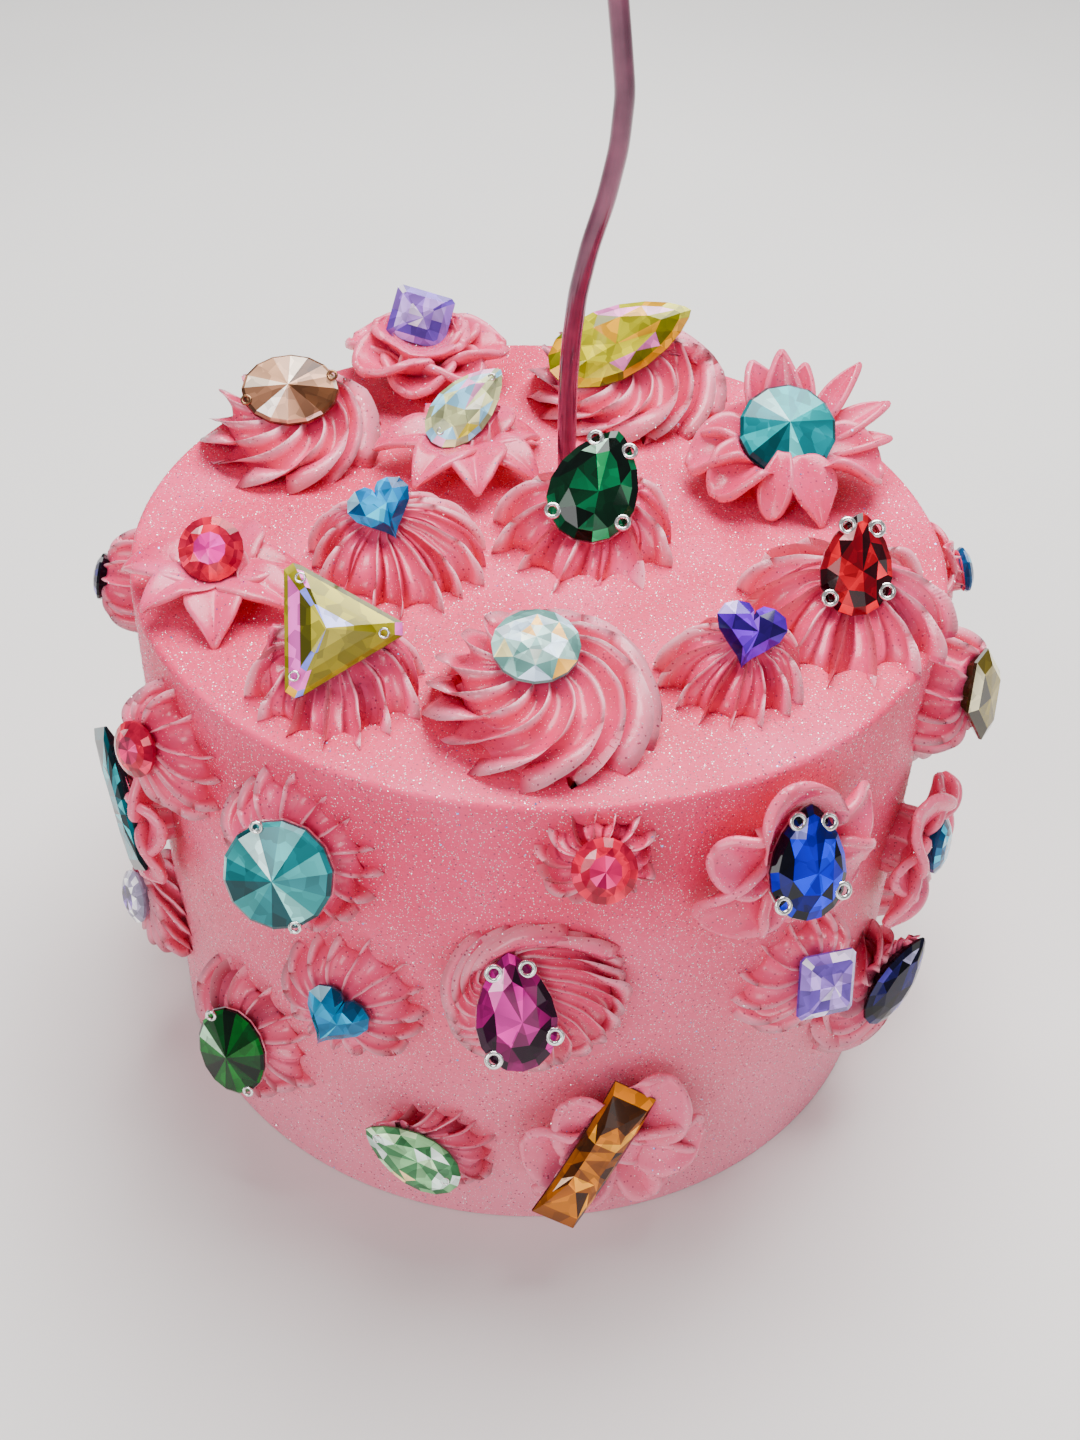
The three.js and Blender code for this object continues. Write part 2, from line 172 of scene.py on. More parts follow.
def shinyMaterial(name, colours, scale, roughness, metallic, coat=0.0, bump=0.0):
    material, tree, shader = startMaterial(name)
    wear = noiseOn(tree, scale)
    tree.links.new(tinted(tree, wear, [(0.3, colours[0]), (0.7, colours[1])]), shader.inputs["Base Color"])
    ranged(tree, wear, roughness, roughness + 0.12, shader.inputs["Roughness"])
    if bump:
        bumped(tree, shader, wear, bump, 0.0004)
    setInputs(shader, {"Metallic": metallic, "Coat Weight": coat, "Coat Roughness": 0.04})
    return material


def stoneMaterial():
    material, tree, shader = startMaterial("stone with painted reflections and glow")
    facet = addNode(tree, "ShaderNodeAttribute", attribute_name="facet")
    # painted reflections: a mosaic of darker and brighter shards, standing for light bounced inside the
    # stone, scales the facet colours
    paintedReflectionShards = patternOn(tree, "ShaderNodeTexVoronoi", {"Scale": 420}).outputs["Color"]
    depth = addNode(tree, "ShaderNodeMapRange", {"From Min": 0.25, "From Max": 0.75, "To Min": 0.68,
                                                 "To Max": 1.25})
    tree.links.new(paintedReflectionShards, depth.inputs["Value"])
    shade = addNode(tree, "ShaderNodeMix", {"Factor": 1.0}, data_type="RGBA", blend_type="MULTIPLY")
    tree.links.new(facet.outputs["Color"], shade.inputs["A"])
    tree.links.new(depth.outputs["Result"], shade.inputs["B"])
    tree.links.new(shade.outputs["Result"], shader.inputs["Base Color"])
    tree.links.new(shade.outputs["Result"], shader.inputs["Emission Color"])
    ranged(tree, noiseOn(tree, 260, 2), 0.04, 0.1, shader.inputs["Roughness"])
    # the emission is a painted glow in the facet colours
    setInputs(shader, {"Emission Strength": 0.18, "Metallic": 0.1, "Specular IOR Level": 0.15,
                       "Coat Weight": 0.3, "Coat Roughness": 0.02})
    return material


smoothCream = creamMaterial("smooth cream", creamLook)
pipedCream = creamMaterial("piped cream", pipedLook)
stonePaintedLight = stoneMaterial()
silver = shinyMaterial("silver setting", ("#d2d0cd", "#fbfaf8"), 500, 0.14, 1.0)
bronze = shinyMaterial("bronze setting", ("#6b4a34", "#a87c5a"), 500, 0.2, 1.0)
waxGloss = shinyMaterial("metallic wax", ("#5a2440", "#84405e"), 120, 0.12, 0.45, coat=0.9, bump=0.12)
cotton = shinyMaterial("cotton wick", ("#d9d2c4", "#f5f1e8"), 900, 0.8, 0.0, bump=0.4)


# ---- modelling helpers
def clearSelection():
    if bpy.context.mode != "OBJECT":
        bpy.ops.object.mode_set(mode="OBJECT")
    bpy.ops.object.select_all(action="DESELECT")


def editing(piece):
    bpy.context.view_layer.objects.active = piece
    bpy.ops.object.mode_set(mode="EDIT")
    bpy.ops.mesh.select_mode(type="VERT")
    bpy.ops.mesh.select_all(action="SELECT")


def outwards(piece):
    clearSelection()
    piece.select_set(True)
    editing(piece)
    bpy.ops.mesh.normals_make_consistent(inside=False)
    bpy.ops.object.mode_set(mode="OBJECT")


def applyModifiers(piece):
    bpy.context.view_layer.objects.active = piece
    for modifier in list(piece.modifiers):
        bpy.ops.object.modifier_apply(modifier=modifier.name)


def joined(pieces):
    clearSelection()
    for piece in pieces:
        piece.select_set(True)
    bpy.context.view_layer.objects.active = pieces[0]
    if len(pieces) > 1:
        bpy.ops.object.join()
    return bpy.context.view_layer.objects.active


def pointsOf(piece):
    flat = np.empty(len(piece.data.vertices) * 3)
    piece.data.vertices.foreach_get("co", flat)
    return flat.reshape(-1, 3)


def setPoints(piece, points):
    piece.data.vertices.foreach_set("co", points.ravel())
    piece.data.update()


def placed(piece, place):
    piece.data.transform(place @ piece.matrix_world)
    piece.matrix_world = Matrix.Identity(4)
    piece.data.update()
    return piece


def linked(name, data):
    piece = bpy.data.objects.new(name, data)
    bpy.context.scene.collection.objects.link(piece)
    return piece


def throughMatrix(points, matrix):
    table = np.array(matrix)
    return points @ table[:3, :3].T + table[:3, 3]


# ---- decorations. tall: height of the cream. first: where its first ridge or petal points.
# A stone's sizes and seat are in millimetres, its angles in degrees. turn is about its own middle,
# lean to the front or up, swing to the right. seat: its middle, from the middle of the foot. How
# wide the cream is and where it stands come from the frame
def stoneOf(cut, colour, long, wide, seat, lean, turn=0, swing=0, **more):
    return {"cut": cut, "colour": colour, "long": long, "wide": wide, "seat": seat, "lean": lean,
            "turn": turn, "swing": swing, **more}


def piped(form, ribs, tall, stone, first=0):
    return {"form": form, "ribs": ribs, "tall": tall, "stone": stone, "first": first}


decorations = {
    # on the top
    "lavender": piped("rose", 7, 14, stoneOf(
        "square", "lavender", 11, 12.5, (-1.5, 2.5, 13.5), lean=56, turn=-14)),
    "champagne": piped("rosette", 12, 12, stoneOf(
        "oval", "champagne", 19, 14.5, (0, 0.5, 12), lean=38, turn=92, held="prongs", metal=bronze)),
    "clear_drop": piped("leaves", 7, 11, first=13, stone=stoneOf(
        "drop", "clear", 20, 11.5, (-0.5, 1, 12), lean=42, turn=-40, held="holes")),
    "yellow_drop": piped("rosette", 14, 13, stoneOf(
        "drop", "yellow", 32, 16, (-2, -1.5, 14), lean=44, turn=-64)),
    "aqua": piped("spray", 8, 11, stoneOf("round", "aqua", 19, 19, (-0.5, 0, 11.5), lean=34)),
    "emerald": piped("star", 13, 11, stoneOf(
        "drop", "emerald", 22, 17, (0.8, 0.5, 11.8), lean=42, turn=-20, held="claws")),
    "heart_blue": piped("star", 17, 10, stoneOf(
        "heart", "sky", 12, 12, (-3, 0.5, 10.8), lean=48, turn=27)),
    "hot_pink": piped("leaves", 7, 9, first=13, stone=stoneOf(
        "button", "hotPink", 11.5, 11.5, (-0.5, 0, 9), lean=48, rim="scarlet")),
    "ruby": piped("star", 15, 11, first=15, stone=stoneOf(
        "drop", "ruby", 18, 13, (0.8, 0.5, 11.5), lean=50, turn=-4, held="claws")),
    "heart_violet": piped("star", 15, 9, stoneOf(
        "heart", "violet", 12, 12, (1.5, 0, 10), lean=46, turn=-12)),
    "triangle": piped("star", 15, 10, stoneOf(
        "triangle", "rainbow", 22, 22, (-1.2, 1.5, 11.5), lean=48, turn=-87, held="corners")),
    "clear_round": piped("rosette", 14, 12, stoneOf(
        "patchwork", "ice", 14.5, 14.5, (-2, 2, 12.5), lean=16)),
    # round the side, as the camera sees it
    "indigo": piped("star", 12, 8, stoneOf("button", "indigo", 9, 9, (0, 1, 8), lean=8)),
    "coral": piped("star", 12, 8, stoneOf(
        "button", "rose", 10, 10, (-2, 2, 8), lean=20, swing=14, rim="scarlet")),
    "teal_bar": piped("cups", 6, 9, stoneOf(
        "bar", "teal", 28, 9, (-0.5, 4, 8.2), lean=4, turn=38, swing=9)),
    "plum": piped("rosette", 12, 8, stoneOf(
        "button", "plum", 11, 11, (-2.5, 2, 8.5), lean=12, swing=14, rim="pearl")),
    "teal_round": piped("star", 16, 8, stoneOf(
        "round", "sea", 18.5, 18.5, (1.5, 1, 8.5), lean=26, swing=20, held="prongs")),
    "rose": piped("star", 15, 6.5, stoneOf(
        "button", "rose", 10.5, 10.5, (0.2, 2.5, 6.5), lean=36, rim="scarlet")),
    "sapphire": piped("cups", 6, 9, stoneOf(
        "drop", "sapphire", 19, 14, (-0.5, 2.5, 8.5), lean=34, turn=-12, swing=-12, held="claws")),
    "teal_edge": piped("cups", 7, 10, stoneOf("button", "lagoon", 11, 11, (0.5, 1, 9), lean=6)),
    "olive": piped("star", 12, 9, stoneOf(
        "kite", "olive", 20, 12, (1, 0, 9.5), lean=8, turn=12, swing=-20)),
    "lavender_side": piped("star", 14, 8, stoneOf(
        "square", "lavender", 12, 12, (1.2, 2, 8), lean=22, turn=-12, swing=-8)),
    "navy": piped("rosette", 15, 9, stoneOf(
        "drop", "navy", 20, 11, (2, 6, 9), lean=12, turn=-44, swing=-24)),
    "green_oval": piped("star", 15, 8, stoneOf(
        "oval", "forest", 18, 13.5, (1.5, 0.5, 8), lean=18, turn=14, swing=24, held="prongs")),
    "heart_aqua": piped("star", 14, 8, stoneOf(
        "heart", "lagoon", 12, 12, (-0.5, 0, 8), lean=24, turn=-24, swing=10)),
    "magenta": piped("rosette", 20, 9, stoneOf(
        "drop", "magenta", 20, 14, (-3.5, 4, 8.5), lean=36, turn=6, swing=4, held="claws")),
    "light_green": piped("star", 15, 7, stoneOf(
        "drop", "mint", 20, 10.5, (-3.5, 4, 7.5), lean=26, turn=60, swing=8, held="holes")),
    "amber_bar": piped("cups", 7, 8, stoneOf(
        "bar", "amber", 29, 10, (-4.5, 4.5, 8.5), lean=22, turn=-34)),
    "peeking": piped("leaves", 7, 9, stoneOf("button", "sky", 9, 9, (0, 0, 9), lean=10)),
    # round the back, finished like the front
    "back_ruby": piped("star", 14, 9, stoneOf(
        "oval", "ruby", 18, 13, (0, 1, 9), lean=20, turn=20, held="prongs")),
    "back_gold": piped("rosette", 14, 10, stoneOf(
        "round", "champagne", 14, 14, (0, 1.5, 10), lean=18)),
    "back_violet": piped("star", 14, 9, stoneOf(
        "heart", "violet", 12, 12, (0, 1, 9), lean=22, turn=14)),
    "back_teal": piped("cups", 6, 9, stoneOf("drop", "teal", 18, 13, (0, 1, 9.5), lean=24, turn=-16)),
    "back_amber": piped("rosette", 16, 10, stoneOf(
        "drop", "amber", 25, 17, (0, 1.5, 10), lean=26, turn=10, held="claws")),
    "back_green": piped("star", 14, 9, stoneOf(
        "square", "emerald", 12, 12, (0, 1, 9), lean=20, turn=18)),
    "back_clear": piped("leaves", 7, 9, first=13, stone=stoneOf(
        "drop", "clear", 18, 12, (0, 1, 9.5), lean=24, turn=38, held="holes")),
    "back_blue": piped("star", 15, 9, stoneOf("round", "sapphire", 18, 18, (0, 1.5, 9.5), lean=22)),
    "back_emerald": piped("star", 15, 9, stoneOf(
        "oval", "forest", 18, 13, (0, 1, 9.5), lean=26, turn=-12, held="prongs")),
    "back_lilac": piped("cups", 6, 9, stoneOf(
        "triangle", "lavender", 18, 18, (0, 1, 9.5), lean=22, turn=12, held="corners")),
    "back_wine": piped("rosette", 16, 10, stoneOf(
        "drop", "magenta", 18, 13, (0, 1.5, 10), lean=28, turn=-8, held="claws")),
    "back_lime": piped("star", 13, 9, stoneOf("oval", "mint", 16, 11, (0, 1, 9), lean=22, turn=50)),
    "back_ocean": piped("leaves", 7, 9, stoneOf("button", "aqua", 12, 12, (0, 1, 9), lean=20)),
    "back_orange": piped("star", 14, 9, stoneOf(
        "drop", "yellow", 18, 13, (0, 1, 9), lean=24, turn=16)),
}


# ---- cut stones. Facet colours run from the painted shade to the painted reflections, in each stone's own hue
palettes = {
    "lavender": ["#5a3a9c", "#8a62c4", "#b08ce0", "#e2d0fa"],
    "champagne": ["#54341f", "#8e6248", "#bf9070", "#f0d8c0"],
    "clear": ["#8a9068", "#d2d89a", "#f2f0d4", "#e6dc3c", "#f29ccc", "#8cd0ee"],
    "yellow": ["#686800", "#a4a000", "#ccc400", "#ece000", "#d09400", "#dc70b4"],
    "aqua": ["#00444a", "#007880", "#00a0a4", "#50d4d4"],
    "emerald": ["#000a05", "#002412", "#005430", "#00a860"],
    "sky": ["#004474", "#0078b8", "#009cd8", "#20c4f4"],
    "hotPink": ["#8c005c", "#cc0084", "#e80098", "#ff30b0"],
    "scarlet": ["#a0002c", "#cc0034", "#e0003c", "#ff2c5c"],
    "ruby": ["#240006", "#700010", "#ac0018", "#e40024"],
    "violet": ["#1c0050", "#4800a0", "#6c00d8", "#a050ff"],
    "rainbow": ["#4c480c", "#8a8010", "#b0a430", "#f4b424", "#f060c4", "#8088ff"],
    "ice": ["#5f8f88", "#9cc4bc", "#dcecdc", "#f4e2a0", "#e8a840", "#cfe8ff"],
    "indigo": ["#04020e", "#100c3a", "#231c78", "#6250b8"],
    "rose": ["#7c0034", "#b8004c", "#dc0060", "#ff3484"],
    "teal": ["#001e24", "#00505a", "#007c88", "#30b8c0"],
    "plum": ["#22103e", "#4b2c86", "#7e58c0", "#c4b0e6"],
    "pearl": ["#8e86a0", "#c9c4d6", "#eeeaf4", "#ffffff"],
    "sea": ["#063e44", "#0e6e74", "#2a9294", "#7cc8c4"],
    "sapphire": ["#000010", "#000058", "#0600a8", "#0c28f0"],
    "olive": ["#2a2204", "#5f500c", "#8e7c1e", "#cdbd62"],
    "navy": ["#020208", "#080622", "#16124e", "#4a40a4"],
    "forest": ["#001004", "#00340e", "#005c18", "#1ca03c"],
    "lagoon": ["#003c60", "#006ea0", "#0094c4", "#30c4e8"],
    "magenta": ["#24001c", "#780050", "#b40080", "#ec00a8"],
    "mint": ["#3f7a4c", "#84c084", "#bfeab0", "#e8c890", "#d9f3e2"],
    "amber": ["#3a1800", "#8a4600", "#c87000", "#f8a01c"],
}
# how often each of those colours comes up, in the facets round the table and in the table
facetShares = {"edge": [0.4, 0.36, 0.16, 0.08, 0.2, 0.18], "table": [0.14, 0.4, 0.34, 0.14, 0.18, 0.2]}

# rings of each cut from the back to the table: size, height as a share of the width, and how the
# points follow the ring before: "even", "half" for half as many, or "turned" for half a step round
edgeRings = [(0.8, -0.16, "even"), (1, -0.02, "even"), (1, 0.03, "even")]
cutLook = {
    "drop": {"count": 18, "rings": [*edgeRings, (0.84, 0.09, "even"), (0.56, 0.16, "half")],
             "tip": (0.06, -0.1, 0.165)},
    "heart": {"count": 20, "rings": [*edgeRings, (0.62, 0.17, "half")], "tip": (0.1, 0.05, 0.176)},
    "button": {"count": 20, "rings": [*edgeRings, (0.74, 0.11, "even"), (0.5, 0.15, "half")],
               "tip": (0, 0, 0.154)},
    "round": {"count": 14, "rings": [*edgeRings, (0.93, 0.07, "even")], "tip": (0, 0, 0.2)},
    "oval": {"count": 16, "rings": [*edgeRings, (0.93, 0.07, "even")], "tip": (0, 0, 0.2)},
    "patchwork": {"count": 16, "rings": [*edgeRings, (0.7, 0.13, "half"), (0.36, 0.17, "turned")],
                  "tip": (0, 0, 0.18)},
    "square": {"rings": [*edgeRings, (0.76, 0.12, "even"), (0.4, 0.128, "even")], "tip": (0.06, 0, 0.13)},
    "kite": {"rings": [*edgeRings, (0.7, 0.12, "even")], "tip": (0, 0, 0.14)},
    "triangle": {"rings": [*edgeRings, (0.9, 0.055, "even"), (0.62, 0.11, "even"), (0.36, 0.15, "even")],
                 "tip": (0, 0, 0.2)},
    "bar": {"rings": [*edgeRings, (0.84, 0.1, "even"), (0.5, 0.17, "turned")], "tip": None},
}


def outlinePoint(cut, share):
    turn = share * math.tau
    if cut in ("round", "oval", "button", "patchwork"):
        return -math.sin(turn), math.cos(turn)
    if cut == "drop":
        return -1.12 * math.sin(turn) * math.sin(turn / 2) ** 0.5, math.cos(turn)
    x = -math.sin(turn) ** 3
    y = (13 * math.cos(turn) - 5 * math.cos(2 * turn) - 2 * math.cos(3 * turn) - math.cos(4 * turn)) / 15
    return x, y * 0.94 + 0.1 + 0.16 * math.exp(-(x / 0.3) ** 2) * (y > 0)


def cornersOf(cut):
    if cut == "square":
        return [(1, 0.86), (0.86, 1), (0, 1), (-0.86, 1), (-1, 0.86), (-1, 0), (-1, -0.86), (-0.86, -1),
                (0, -1), (0.86, -1), (1, -0.86), (1, 0)]
    if cut == "triangle":
        return [(0.1, 1.08), (-0.1, 1.08), (-0.96, -0.4), (-1, -0.52), (-0.9, -0.66),
                (0.9, -0.66), (1, -0.52), (0.96, -0.4)]
    if cut == "kite":
        return [(0.35, 1), (-0.35, 1), (-1, 0.1), (-0.3, -1), (0.3, -1), (1, 0.1)]
    steps = [y / 4 - 1 for y in range(9)]
    bow = [0.1 * (1 - y * y) for y in steps]
    right = [(0.82 + b, y) for y, b in zip(steps, bow)]
    left = [(-0.95 + b, y) for y, b in zip(steps, bow)]
    return right + left[::-1]


def outlineOf(stone, shift=0.0):
    cut = stone["cut"]
    if "count" in cutLook[cut]:
        count = cutLook[cut]["count"]
        points = [outlinePoint(cut, (i + shift) / count) for i in range(count)]
    else:
        points = cornersOf(cut)
        if shift:
            points = [((a + c) / 2, (b + d) / 2) for (a, b), (c, d) in zip(points, points[1:] + points[:1])]
    half = stone["wide"] / 2 * mm, stone["long"] / 2 * mm
    return [(x * half[0], y * half[1]) for x, y in points]


def stripFaces(below, above, follows):
    # the facets between two rings; faces with the same number are painted as one
    count = len(above)
    faces = []
    for i in range(count):
        j = (i + 1) % count
        if follows == "even":
            faces.append((i, (below[i], below[j], above[j], above[i])))
        elif follows == "turned":
            faces.append((i, (below[i], below[j], above[i])))
            faces.append((count + i, (below[j], above[j], above[i])))
        else:
            before, same, after = below[2 * i - 1], below[2 * i], below[2 * i + 1]
            faces.append((i, (before, same, above[i])))
            faces.append((i, (same, after, above[i])))
            faces.append((count + i, (after, above[j], above[i])))
    return faces


def cutStone(stone, seed):
    # a gem is built ring by ring from its back to its table
    look = cutLook[stone["cut"]]
    wide = stone["wide"] * mm
    shell = bmesh.new()
    band = shell.faces.layers.int.new("band")
    group = shell.faces.layers.int.new("group")
    rings, shift, skip = [], 0.0, 1
    for size, height, follows in look["rings"]:
        skip *= 2 if follows == "half" else 1
        shift += 0.5 * skip if follows == "turned" else 0
        outline = outlineOf(stone, shift)[::skip]
        rings.append([shell.verts.new((x * size, y * size, height * wide)) for x, y in outline])
    shell.faces.new(rings[0][::-1])
    for level, (below, above) in enumerate(zip(rings, rings[1:])):
        for number, corners in stripFaces(below, above, look["rings"][level + 1][2]):
            face = shell.faces.new(corners)
            face[band], face[group] = level + 1, number
    top = rings[-1]
    if look["tip"] is None:
        lid = shell.faces.new(top)
        lid[band] = len(rings)
        for number, face in enumerate(bmesh.ops.triangulate(shell, faces=[lid])["faces"]):
            face[group] = number
    else:
        x, y, height = look["tip"]
        tip = shell.verts.new((x * wide, y * wide, height * wide))
        for i, corner in enumerate(top):
            face = shell.faces.new((corner, top[(i + 1) % len(top)], tip))
            face[band], face[group] = len(rings), i
    bmesh.ops.recalc_face_normals(shell, faces=shell.faces)
    mesh = bpy.data.meshes.new("gem")
    shell.to_mesh(mesh)
    shell.free()
    gem = linked("gem", mesh)
    paintFacets(gem, stone, seed)
    mesh.materials.append(stonePaintedLight)
    return gem


# the bands of facets that are the stone's edge and take the darkest colour, a painted shade, then those that
# take the colours of its rim
edgeBands = 2
rimBands = 4


def paintFacets(gem, stone, seed):
    # the facet that faces up and to the left is painted as the bright glint; the others get painted shade
    # and painted reflections at random
    picker = random.Random(seed)
    inner = [hexColour(text) for text in palettes[stone["colour"]]]
    outer = [hexColour(text) for text in palettes[stone.get("rim", stone["colour"])]]
    bands = [value.value for value in gem.data.attributes["band"].data]
    groups = [value.value for value in gem.data.attributes["group"].data]
    glint = Vector((-0.35, 0.3, 1)).normalized()
    facing = [face.normal.dot(glint) if level > edgeBands else -1
              for face, level in zip(gem.data.polygons, bands)]
    brightest = facing.index(max(facing))
    paintedGlintFacet = (bands[brightest], groups[brightest])
    chosen = {}
    layer = gem.data.color_attributes.new("facet", "FLOAT_COLOR", "CORNER")
    for face, facet in zip(gem.data.polygons, zip(bands, groups)):
        colours = outer if facet[0] <= rimBands else inner
        if facet not in chosen:
            shares = facetShares["table" if facet[0] == bands[-1] else "edge"][:len(colours)]
            colour = picker.choices(colours, shares)[0][:3] if facet[0] > edgeBands else colours[0][:3]
            if facet == paintedGlintFacet:
                colour = tuple(0.6 * c + 0.3 for c in colours[-1][:3])
            chosen[facet] = colour
        # each corner is painted lighter or darker at random, a painted shading across the facet
        for corner in face.loop_indices:
            strength = picker.uniform(0.65, 1.3)
            layer.data[corner].color = (*[min(1, c * strength) for c in chosen[facet]], 1)


# silver loops that hold a stone at its edge, and the rings of its sewing holes
settingLook = {"claws": {"spots": (0.13, 0.37, 0.64, 0.88), "loop": 1.2, "wire": 0.45, "inward": 0.93},
               "prongs": {"spots": (0.04, 0.55), "loop": 0.85, "wire": 0.32, "inward": 0.95},
               "holes": {"spots": (0.0, 0.5), "loop": 0.62, "wire": 0.17, "inward": 0.74},
               "corners": {"spots": (0.06, 0.38, 0.68), "loop": 0.75, "wire": 0.2, "inward": 0.76}}


def addLoop(spot, height, look, metal):
    clearSelection()
    bpy.ops.mesh.primitive_torus_add(major_segments=20, minor_segments=8, major_radius=look["loop"] * mm,
                                     minor_radius=look["wire"] * mm, location=(*spot, height))
    loop = placed(bpy.context.object, Matrix.Identity(4))
    bpy.ops.object.shade_smooth()
    loop.data.materials.append(metal)
    return loop


# rings of the thin metal cup behind a held stone: size, and height as a share of the width
cupRings = ((0.8, -0.175), (1.015, -0.04), (0.99, -0.005))


def addCup(stone, metal):
    outline = outlineOf(stone)
    shell = bmesh.new()
    rings = [[shell.verts.new((x * size, y * size, height * stone["wide"] * mm)) for x, y in outline]
             for size, height in cupRings]
    shell.faces.new(rings[0][::-1])
    for below, above in zip(rings, rings[1:]):
        for _, corners in stripFaces(below, above, "even"):
            shell.faces.new(corners)
    shell.faces.new(rings[-1])
    bmesh.ops.recalc_face_normals(shell, faces=shell.faces)
    mesh = bpy.data.meshes.new("cup")
    shell.to_mesh(mesh)
    shell.free()
    mesh.materials.append(metal)
    return linked("cup", mesh)


def settingFor(stone):
    kind = stone.get("held")
    if not kind:
        return []
    look = settingLook[kind]
    metal = stone.get("metal", silver)
    outline = outlineOf(stone)
    height = stone["wide"] * (0.08 if kind in ("claws", "prongs") else 0.11) * mm
    made = []
    for share in look["spots"]:
        x, y = outline[round(share * len(outline)) % len(outline)]
        made.append(addLoop((x * look["inward"], y * look["inward"]), height, look, metal))
    if kind in ("claws", "prongs"):
        made.append(addCup(stone, metal))
    return made


# ---- piped cream. Each ridge runs from the foot up to the edge of the stone. steep: how upright it
# starts. depth: how far the valleys go in, as a share of the space between ridges. sharp: under 1
# gives thin ridges with wide valleys. twist: degrees from the foot to the stone
swirlLook = {
    "star": {"steep": 0.62, "depth": 0.5, "sharp": 0.6, "skew": 1.0, "twist": 6, "flare": 0.12,
             "crest": 0.3},
    "rosette": {"steep": 0.85, "depth": 0.64, "sharp": 0.7, "skew": 0.72, "twist": 88, "flare": 0.03,
                "crest": 0.3},
    "mound": {"steep": 0.9, "depth": 0.3, "sharp": 0.6, "skew": 1.0, "twist": 14, "flare": 0.0,
              "crest": 0.15},
}
pointsPerRib = 10
swirlRings = 24
# how uneven the ridges are: in length, in direction and in the depth of the valleys beside them
uneven = {"longer": (0.93, 1.06), "wander": (-0.15, 0.15), "deeper": (0.8, 1.2)}
# how deep a foot is sunk and how high the small lumps are, in millimetres, and how many lumps come
# in a metre
footDepth = 0.9
lumpHeight = 0.3
lumpScale = 240


def drawnUp(count, rings):
    # a circle drawn up ring by ring and closed at both ends
    clearSelection()
    bpy.ops.mesh.primitive_circle_add(vertices=count, radius=1, fill_type="NOTHING")
    piece = bpy.context.object
    editing(piece)
    for _ in range(rings - 1):
        bpy.ops.mesh.extrude_region_move(TRANSFORM_OT_translate={"value": (0, 0, 1)})
    bpy.ops.mesh.edge_face_add()
    bpy.ops.mesh.poke()
    bpy.ops.mesh.select_all(action="SELECT")
    bpy.ops.mesh.fill_holes(sides=0)
    bpy.ops.object.mode_set(mode="OBJECT")
    return piece


# where a ridge ends: just inside the edge of the stone's back, and no higher than the cream. reach
# and back are shares of the stone's size, above and lowest are in millimetres
ridgeEnd = {"reach": 0.84, "back": 0.13, "above": 0.5, "lowest": 1.5}


def stoneEdge(turn, stone, pose, tall):
    seen = turn - math.radians(stone["turn"])
    halfWide, halfLong = stone["wide"] / 2 * mm, stone["long"] / 2 * mm
    reach = ridgeEnd["reach"] / np.hypot(np.cos(seen) / halfWide, np.sin(seen) / halfLong)
    back = -ridgeEnd["back"] * stone["wide"] * mm
    edge = np.stack([reach * np.cos(seen), reach * np.sin(seen), np.full(seen.shape, back)], -1)
    edge = throughMatrix(edge.reshape(-1, 3), pose).reshape(edge.shape)
    middle = np.array(pose @ Vector((0, 0, back)))
    ceiling = max(tall, middle[2] + ridgeEnd["above"] * mm)
    over = np.maximum(edge[..., 2] - middle[2], 1e-6)
    shorter = np.where(edge[..., 2] > ceiling, np.clip((ceiling - middle[2]) / over, 0.1, 1), 1)
    edge = middle + (edge - middle) * shorter[..., None]
    edge[..., 2] = np.maximum(edge[..., 2], ridgeEnd["lowest"] * mm)
    return edge, middle


def paintRidgeHighlights(piece, amounts):
    # how much painted highlight each point gets, as a thin edge of the cream catching the light
    layer = piece.data.attributes.new("ridge", "FLOAT", "POINT")
    layer.data.foreach_set("value", amounts)


